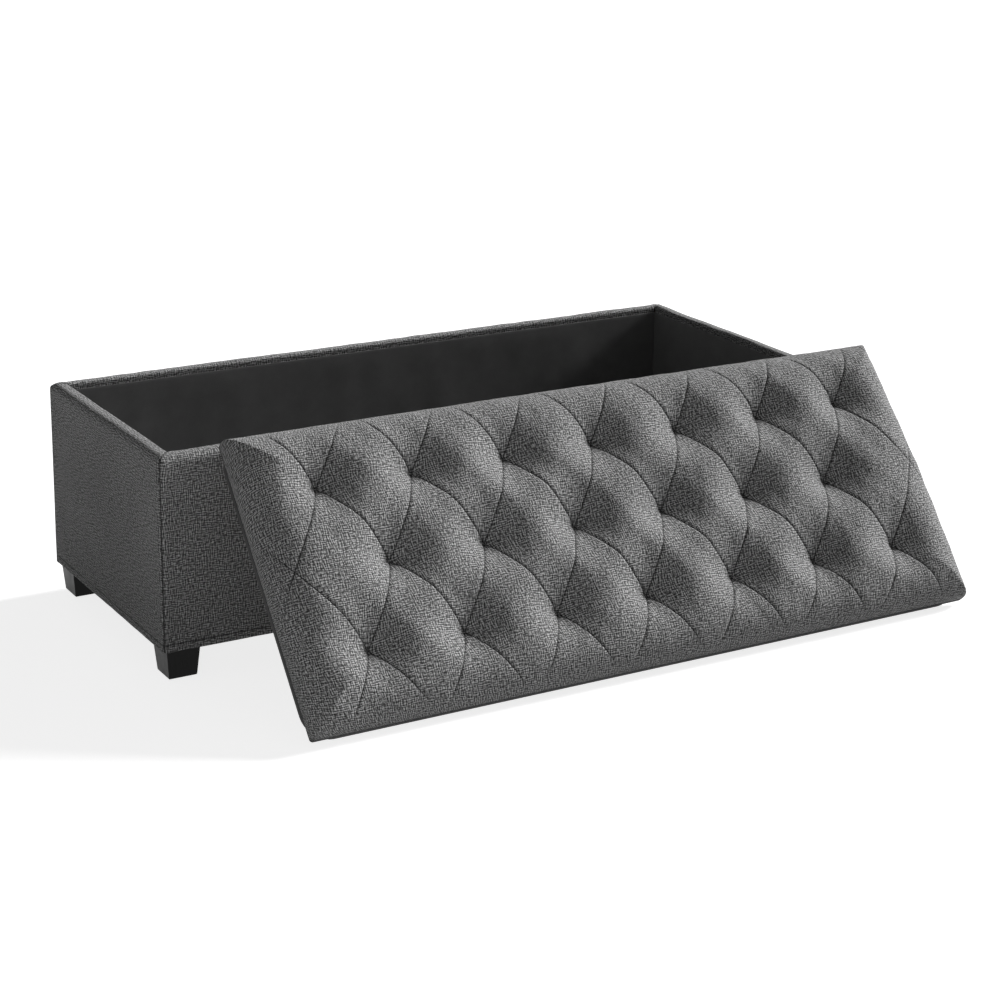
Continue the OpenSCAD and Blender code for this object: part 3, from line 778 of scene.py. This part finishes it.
def flat_cloth(name, node, z, lift, seed, down=False):
    """A level lining with its edges at this height. Between them it lifts, or sags if lift is below 0."""
    low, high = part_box(node)
    x = stations(low.x, high.x, SHEET_STEP)[None, :]
    y = stations(low.y, high.y, SHEET_STEP)[:, None]
    edge = np.minimum(np.minimum(x - low.x, high.x - x), np.minimum(y - low.y, high.y - y))
    held = 1 - np.exp(-edge / EDGE_HOLD)
    broad = 0.5 * ripple(x, y, SHEET_WAVES[0], seed)
    small = 0.2 * ripple(x, y, SHEET_WAVES[1], seed + 1)
    rise = np.clip(0.7 + broad + small, 0, 2) * held
    points = np.stack([x + 0 * y, y + 0 * x, z + lift * rise], -1)
    flat = np.stack([x + 0 * y, y + 0 * x], -1)
    made = piece(
        name, points.reshape(-1, 3), grid_faces(*rise.shape, flip=down), LINING, "box", "lining",
        cloth=flat.reshape(-1, 2),
    )
    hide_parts(node)
    return made


floor_low, floor_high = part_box("floor_lining")
floor_cloth = flat_cloth("floor_lining_cloth", "floor_lining", floor_high.z, FLOOR_RISE, 31)
dust_low, dust_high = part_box("dust_cover")
dust_cloth = flat_cloth("dust_cover_cloth", "dust_cover", dust_low.z + DUST_SAG, -DUST_SAG, 37, down=True)


def staple(middle, along, out):
    """One staple: a crown that stands a little proud, its ends going in."""
    middle, along, out = np.array(middle), np.array(along), np.array(out)
    path = [middle + along * share * STAPLE_W / 2 + out * rise * MM for share, rise in STAPLE_PATH]
    return tube_along(path, STAPLE_R, 6)


def near_leg(x, y, leg):
    """Whether a spot under the box is on this leg or too close to it."""
    low, high = leg
    return low.x - LEG_CLEAR < x < high.x + LEG_CLEAR and low.y - LEG_CLEAR < y < high.y + LEG_CLEAR


def box_staples():
    """Staples round the dust cover, clear of the legs."""
    legs = [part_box(f"{end}_{side}_leg") for end in ("front", "back") for side in ("left", "right")]
    margin = Vector((STAPLE_MARGIN, STAPLE_MARGIN, 0))
    low, high = dust_low + margin, dust_high - margin
    spots = [(x, y, (1, 0, 0)) for x in stations(low.x, high.x, STAPLE_STEP) for y in (low.y, high.y)]
    spots += [(x, y, (0, 1, 0)) for y in stations(low.y, high.y, STAPLE_STEP) for x in (low.x, high.x)]
    clear = [spot for spot in spots if not any(near_leg(*spot[:2], leg) for leg in legs)]
    made = [staple((x, y, dust_low.z), along, (0, 0, -1)) for x, y, along in clear]
    return gathered("dust_cover_staples", made, STAPLE, "box", "fastener")


box_staples()


# ---- Lid ----


def lid_axes():
    """The leaning lid's axes, along, up and out, and its origin, found from its seat board and lining."""
    mesh = nodes["seat_board"].data
    out = max(mesh.polygons, key=lambda p: p.area).normal.copy()
    out *= 1 if out.z > 0 else -1
    along = Vector((1, 0, 0))
    up = out.cross(along)
    middle_x = sum(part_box("seat_board"), Vector()).x / 2
    foot = min(up.dot(v.co) for v in mesh.vertices) - SEAT_BOARD_INSET
    under = min(out.dot(v.co) for v in nodes["lid_lining"].data.vertices)
    return np.array([along, up, out]), np.array(along * middle_x + up * foot + out * under)


LID_AXES, LID_ORIGIN = lid_axes()


def on_lid(x, y, z):
    """Points of the lid in the row frame: x from its middle, y up from its foot, z from its underside."""
    return LID_ORIGIN + np.stack([x, y, z], -1) @ LID_AXES


def border_curve():
    """How the seat's cloth wraps over its edge: length from the end of its hem, with inset and rise."""
    angles = np.radians(np.linspace(0, 90, 400))
    inset = np.concatenate([[SEAT_HEM, 0], BORDER_W * (1 - np.cos(angles))])
    hem = [BASE_TOP + HEM_LIFT] * 2
    height = np.concatenate([hem, BORDER_Z + (SEAT_H - BORDER_Z) * np.sin(angles)])
    length = np.concatenate([[0], np.cumsum(np.hypot(np.diff(inset), np.diff(height)))])
    return length, inset, height


def tuft_spots():
    """Every tuft about the middle of the lid: outer rows of TUFT_COUNT, a middle row of one fewer."""
    spots = []
    for row in (-1, 0, 1):
        count = TUFT_COUNT - (row == 0)
        spots += [((k - (count - 1) / 2) * TUFT_PITCH, row * TUFT_ROW) for k in range(count)]
    return spots


def near_tuft(x, y):
    """Distance to the nearest tuft."""
    return np.min([np.hypot(x - a, y - b) for a, b in tuft_spots()], axis=0)


def tuft_pull(x, y):
    """How deep the tufts pull the cloth down: a wide funnel to each, pinched at its bottom."""
    funnels, pinches = [], []
    for a, b in tuft_spots():
        away = np.hypot(x - a, y - b)
        left = 1 - away / TUFT_REACH
        funnels.append((left + np.hypot(left, TUFT_SOFTNESS)) / (1 + math.hypot(1, TUFT_SOFTNESS)))
        pinches.append(np.exp(-away / TUFT_PINCH_R))
    depth = TUFT_DEPTH * np.max(funnels, axis=0) + TUFT_PINCH * np.max(pinches, axis=0)
    return np.minimum(depth, TUFT_LIMIT)


def seam_distance(x, y):
    """Distance to the nearest of the diagonal seams, which run from tuft to tuft and on over the border."""
    u = x / TUFT_PITCH + TUFT_COUNT % 2 / 2
    v = y / (2 * TUFT_ROW)
    step = 2 * TUFT_PITCH * TUFT_ROW / math.hypot(2 * TUFT_ROW, TUFT_PITCH)
    return np.minimum(np.abs(u + v - np.round(u + v)), np.abs(u - v - np.round(u - v))) * step


def half_cloth():
    """Half the seat cloth's length and depth, laid flat, and how much of each its wrapped edge takes up."""
    spare = border_curve()[0][-1] - BORDER_W
    return LID_L / 2 + spare, LID_D / 2 + spare, spare


def seat_form(a, b):
    """The tufted cloth over its padding, for cloth coordinates a along the lid and b up it.

    Gives its points about the lid's middle, and the distances to the seams, tufts and lower edge.
    """
    length, inset, height = border_curve()
    half_a, half_b, spare = half_cloth()
    from_hem = np.minimum(half_a - np.abs(a), half_b - np.abs(b))
    edge = np.interp(from_hem, length, inset)
    edge = np.where(from_hem > length[-1], from_hem - spare, edge)
    base = np.interp(from_hem, length, height)
    at_end = np.clip(half_a - np.abs(a), 0, None) <= half_b - np.abs(b)
    out_x, out_y = LID_L / 2 - edge, LID_D / 2 - edge
    x = np.where(at_end, np.sign(a) * out_x, a * out_x / np.maximum(half_a - from_hem, TINY))
    y = np.where(at_end, b * out_y / np.maximum(half_b - from_hem, TINY), np.sign(b) * out_y)
    from_x, from_y = round_corner(LID_L / 2 - np.abs(x), LID_D / 2 - np.abs(y), SEAT_CORNER_R)
    x, y = np.sign(x) * (LID_L / 2 - from_x), np.sign(y) * (LID_D / 2 - from_y)
    rise = (base - BORDER_Z).clip(0) / (SEAT_H - BORDER_Z)
    tuft = near_tuft(x, y)
    seam = seam_distance(a, b)
    valley = VALLEY_DEPTH * np.exp(-seam / VALLEY_W) * (1 - np.exp(-tuft / VALLEY_W))
    z = base - rise * (tuft_pull(x, y) + valley)
    in_x = 1 - np.minimum(LID_L / 2 - np.abs(x), BORDER_W) / BORDER_W
    in_y = 1 - np.minimum(LID_D / 2 - np.abs(y), BORDER_W) / BORDER_W
    from_edge = from_hem - SEAT_HEM
    grown = 1 - hump(from_edge.clip(0), SWELL_W)
    bow_x, bow_y = 1 - (2 * y / LID_D) ** 2, 1 - (2 * x / LID_L) ** 2
    x = x + np.sign(x) * END_SWELL * in_x * bow_x * grown
    y = y + np.sign(y) * SIDE_SWELL * in_y * bow_y * grown
    return np.stack([x, y, z], -1), seam, tuft, from_edge


def grid_normals(points):
    """The outward direction at each point of a grid."""
    across = np.gradient(points, axis=1)
    down = np.gradient(points, axis=0)
    out = np.cross(across, down)
    return out / np.maximum(np.linalg.norm(out, axis=-1, keepdims=True), TINY)


def cloth_lattice(cells):
    """The cloth's coordinates, this many steps to a tuft, so that each seam runs through grid points."""
    half_a, half_b, _ = half_cloth()
    lines = []
    for half, pitch in ((half_a, TUFT_PITCH), (half_b, 2 * TUFT_ROW)):
        step = pitch / cells
        count = math.floor(half / step)
        lines.append(np.concatenate([[-half], np.arange(-count, count + 1) * step, [half]]))
    return lines


def filled_out(points, held, pressure, cap):
    """How far cloth pressed out by its filling moves from a grid of points. It stays where held is 1."""
    rows, columns = held.shape
    mesh = bpy.data.meshes.new("filling")
    mesh.from_pydata(points.reshape(-1, 3).tolist(), [], grid_faces(rows, columns).tolist())
    made = bpy.data.objects.new("filling", mesh)
    bpy.context.scene.collection.objects.link(made)
    group = made.vertex_groups.new(name="held")
    for k, weight in enumerate(held.ravel().tolist()):
        group.add([k], weight, "REPLACE")
    cloth = made.modifiers.new("cloth", "CLOTH")
    cloth.settings.quality = 5
    cloth.settings.mass = 0.3
    cloth.settings.tension_stiffness = 20
    cloth.settings.compression_stiffness = 20
    cloth.settings.shear_stiffness = 8
    cloth.settings.bending_stiffness = 1
    cloth.settings.vertex_group_mass = "held"
    cloth.settings.use_pressure = True
    cloth.settings.uniform_pressure_force = pressure
    cloth.settings.effector_weights.gravity = 0
    cloth.point_cache.frame_start = 1
    cloth.point_cache.frame_end = SIM_FRAMES
    for k in range(1, SIM_FRAMES + 1):
        bpy.context.scene.frame_set(k)
    after = made.evaluated_get(bpy.context.evaluated_depsgraph_get())
    co = np.empty(rows * columns * 3, np.float32)
    after.data.vertices.foreach_get("co", co)
    moves = co.reshape(rows, columns, 3) - points
    bpy.data.objects.remove(made)
    bpy.data.meshes.remove(mesh)
    bpy.context.scene.frame_set(1)
    far = np.linalg.norm(moves, axis=-1, keepdims=True)
    return moves * np.minimum(1, cap / np.maximum(far, TINY))


def cubic(values, at, axis):
    """Values between grid lines along one axis, on a smooth curve through them."""
    values = np.moveaxis(values, axis, 0)
    last = len(values) - 1
    whole = np.clip(np.floor(at).astype(int), 0, last - 1)
    t = (at - whole).reshape(-1, *[1] * (values.ndim - 1))
    p = [values[np.clip(whole + k, 0, last)] for k in (-1, 0, 1, 2)]
    bend = 2 * p[0] - 5 * p[1] + 4 * p[2] - p[3] + t * (3 * (p[1] - p[2]) + p[3] - p[0])
    return np.moveaxis(p[1] + 0.5 * t * (p[2] - p[0] + t * bend), 0, axis)


def filling_moves(fine_a, fine_b):
    """The simulated filling's moves, worked out on a coarse lattice and carried to a fine one."""
    coarse_a, coarse_b = cloth_lattice(SIM_CELLS)
    a, b = np.meshgrid(coarse_a, coarse_b)
    points, _, tuft, from_edge = seat_form(a, b)
    held = np.maximum(hump(tuft, HELD_TUFT_R), np.clip(HELD_OVER - from_edge / HELD_EDGE, 0, 1))
    moves = filled_out(points, held, SIM_PRESSURE, SIM_CAP)
    moves = cubic(moves, np.interp(fine_a, coarse_a, np.arange(len(coarse_a))), 1)
    return cubic(moves, np.interp(fine_b, coarse_b, np.arange(len(coarse_b))), 0)


def split_quads(quads, seam):
    """Triangles of a grid's quads, each split along its diagonal that is nearer to a seam."""
    one_way = seam[quads[:, [0, 2]]].sum(1)
    other_way = seam[quads[:, [1, 3]]].sum(1)
    first = (one_way < other_way)[:, None]
    return np.concatenate([
        np.where(first, quads[:, [0, 1, 2]], quads[:, [0, 1, 3]]),
        np.where(first, quads[:, [0, 2, 3]], quads[:, [1, 2, 3]]),
    ])


def seat_cover():
    """The tufted cover: its form, pressed out by its filling, with sewn seams and mitres, and painted shade
    in them and along its foot.
    """
    a, b = cloth_lattice(SEAM_CELLS)
    half_a, half_b = a[-1], b[-1]
    moves = filling_moves(a, b)
    a, b = np.meshgrid(a, b)
    points, seam, tuft, from_edge = seat_form(a, b)
    points = points + moves
    out = grid_normals(points)
    fade = np.clip((from_edge - SEAM_START) / SEAM_FADE, 0, 1)
    corner = np.abs((half_a - np.abs(a)) - (half_b - np.abs(b))) / math.sqrt(2)
    mitre = np.exp(-corner / MITRE_W) * np.clip(1 - from_edge / MITRE_L, 0, 1) * (from_edge > 0)
    groove = np.maximum(np.exp(-seam / SEAM_W) * fade, mitre)
    deep = SEAM_DEPTH * (1 + SEAM_DEEPER * np.exp(-tuft / SEAM_DEEPER_R)) * (1 - hump(tuft, SEAM_END_R))
    uneven = 0.35 * ripple(a, b, SEAT_WAVES[0], 51) + 0.15 * ripple(a, b, SEAT_WAVES[1], 52)
    free = np.clip((from_edge - UNEVEN_START) / UNEVEN_FADE, 0, 1)
    points = points + out * (uneven * free * UNEVEN - groove * deep)[..., None]
    world = on_lid(points[..., 0], points[..., 1] + LID_D / 2, points[..., 2])
    faces = split_quads(grid_faces(*a.shape), seam.ravel())
    flat = np.stack([a, b], -1).reshape(-1, 2)
    # Painted shade: near-black lines along the seams and mitres, and a dark band along the cloth's foot,
    # narrower at the ends; handed on as the groove attribute
    at_side = half_b - np.abs(b) < half_a - np.abs(a)
    fold = np.clip((np.where(at_side, SIDE_SHADE_W, END_SHADE_W) - from_edge) / SHADE_FADE, 0, 1)
    painted_shade = np.maximum(np.exp(-seam / SEAM_SHADE_LINE_W) * fade, np.maximum(mitre, fold))
    made = piece(
        "tufted_seat", world.reshape(-1, 3), faces, SEAT_CLOTH, "lid", "upholstery", cloth=flat,
        groove=painted_shade.ravel(),
    )
    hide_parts("seat_cover")
    return made


seat_cover()


def under_stations(half, section):
    """Stations across the underlining: one edge's section, the flat between, and the other edge's."""
    flat = stations(UNDER_FLAT - half, half - UNDER_FLAT, SHEET_STEP)
    count = len(section)
    ring = np.concatenate([np.arange(count), np.full(len(flat), count), np.arange(count)[::-1]])
    return ring, np.concatenate([-half + section[:, 0], flat, half - section[::-1, 0]])


def lid_underlining():
    """Black cloth over the base panel: up its edge, round its lower corner and flat beneath."""
    half_x, half_y = LID_L / 2 - UNDER_INSET, LID_D / 2 - UNDER_INSET
    section = np.concatenate([
        [(UNDER_TUCK, BASE_TOP)],
        [(0.0, BASE_TOP - UNDER_TUCK_Z)],
        line((0, BASE_TOP - UNDER_TUCK_Z), (0, UNDER_R), UNDER_STEP),
        arc((UNDER_R, UNDER_R), UNDER_R, 180, 270, 5),
    ])
    count = len(section)
    ring_x, x = under_stations(half_x, section)
    ring_y, y = under_stations(half_y, section)
    level = np.minimum(*np.meshgrid(ring_x, ring_y))
    x, y = np.meshgrid(x, y)
    table = np.concatenate([section, [(UNDER_FLAT, 0)]])
    inset, z = table[level, 0], table[level, 1]
    x = np.where(level < count, np.clip(x, inset - half_x, half_x - inset), x)
    y = np.where(level < count, np.clip(y, inset - half_y, half_y - inset), y)
    from_x, from_y = round_corner(half_x - np.abs(x), half_y - np.abs(y), BASE_CORNER_R)
    edge = np.minimum(half_x - np.abs(x), half_y - np.abs(y))
    x, y = np.sign(x) * (half_x - from_x), np.sign(y) * (half_y - from_y)
    held = 1 - np.exp(-edge / EDGE_HOLD)
    z = z + UNDER_SAG * np.clip(0.6 + 0.5 * ripple(x, y, UNDER_WAVE, 61), 0, 2) * held
    world = on_lid(x, y + LID_D / 2, z)
    flat = np.stack([x, y], -1).reshape(-1, 2)
    made = piece(
        "lid_underlining", world.reshape(-1, 3), grid_faces(*x.shape, flip=True), UNDERLINING_SHADED,
        "lid", "lining", cloth=flat,
    )
    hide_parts("lid_lining")
    return made


lid_underlining()


# ---- Light, floor and camera ----


def sun(name, direction, strength, spread):
    """A distant lamp that shines from this direction, its disc this many degrees wide."""
    lamp = bpy.data.lights.new(name, "SUN")
    lamp.energy = strength
    lamp.angle = math.radians(spread)
    made = bpy.data.objects.new(name, lamp)
    made.rotation_euler = Vector(direction).to_track_quat("Z", "Y").to_euler()
    bpy.context.scene.collection.objects.link(made)


def soft_box(name, at, aim, size, power):
    """A square lamp out of the camera's sight, its size in metres and its power in watts."""
    lamp = bpy.data.lights.new(name, "AREA")
    lamp.size = size
    lamp.energy = power
    made = bpy.data.objects.new(name, lamp)
    made.location = at
    made.rotation_euler = (Vector(at) - Vector(aim)).to_track_quat("Z", "Y").to_euler()
    made.visible_camera = False
    bpy.context.scene.collection.objects.link(made)


sun("key_light", (0.87, 0, 0.49), 5.0, 16)
soft_box("left_fill", (-1.3, -1.3, 0.2), (-0.55, -0.1, 0.2), 0.6, 3.7)


def seen_directly(tree):
    """A socket that is 1 for rays that show a thing as it is, and 0 for those that only carry its light."""
    rays = tree.nodes.new("ShaderNodeLightPath")
    total = rays.outputs["Is Camera Ray"]
    for name in ("Is Glossy Ray", "Is Transmission Ray"):
        both = tree.nodes.new("ShaderNodeMath")
        both.operation = "MAXIMUM"
        tree.links.new(total, both.inputs[0])
        tree.links.new(rays.outputs[name], both.inputs[1])
        total = both.outputs[0]
    return total


def white_world(strength):
    """An even white sky: strength on the object, and plain white where it is seen or mirrored."""
    world = bpy.data.worlds.new("studio")
    bpy.context.scene.world = world
    world.use_nodes = True
    tree = world.node_tree
    seen = tree.nodes.new("ShaderNodeMath")
    seen.operation = "MULTIPLY_ADD"
    seen.inputs[1].default_value = 1 - strength
    seen.inputs[2].default_value = strength
    tree.links.new(seen_directly(tree), seen.inputs[0])
    background = tree.nodes["Background"]
    background.inputs["Color"].default_value = (1, 1, 1, 1)
    tree.links.new(seen.outputs[0], background.inputs["Strength"])


white_world(0.085)


def studio_floor(bounce, glow):
    """A white floor that runs out of sight. Its glow is only seen, and keeps the bench's shadow faint."""
    far = 30
    corners = [(-far, -far, 0), (far, -far, 0), (far, far, 0), (-far, far, 0)]
    mesh = bpy.data.meshes.new("floor")
    mesh.from_pydata(corners, [], [(0, 1, 2, 3)])
    floor = bpy.data.objects.new("floor", mesh)
    bpy.context.scene.collection.objects.link(floor)
    s = Shader("pale_floor")
    seen = s.math("MULTIPLY", seen_directly(s.tree), glow)
    mesh.materials.append(s.finish(
        Base_Color=grey(bounce),
        Roughness=0.9,
        Specular_IOR_Level=0.1,
        Emission_Color=grey(1),
        Emission_Strength=seen,
    ))


studio_floor(0.55, 0.8)

CAMERA_AT = (-1.751, -2.974, 1.298)
CAMERA_TURN = math.radians(30.12)
CAMERA_DOWN = math.radians(14.66)
CAMERA_ROLL = math.radians(0.55)
camera = bpy.data.objects.new("camera", bpy.data.cameras.new("camera"))
camera.data.sensor_width = 36
camera.data.lens = 86.2
camera.data.shift_x = -0.001
camera.data.shift_y = -0.152
turned = Matrix.Rotation(-CAMERA_TURN, 4, "Z") @ Matrix.Rotation(math.pi / 2 - CAMERA_DOWN, 4, "X")
camera.matrix_world = Matrix.Translation(CAMERA_AT) @ turned @ Matrix.Rotation(CAMERA_ROLL, 4, "Z")
bpy.context.scene.collection.objects.link(camera)
bpy.context.scene.camera = camera
bpy.context.scene.view_settings.view_transform = "Standard"
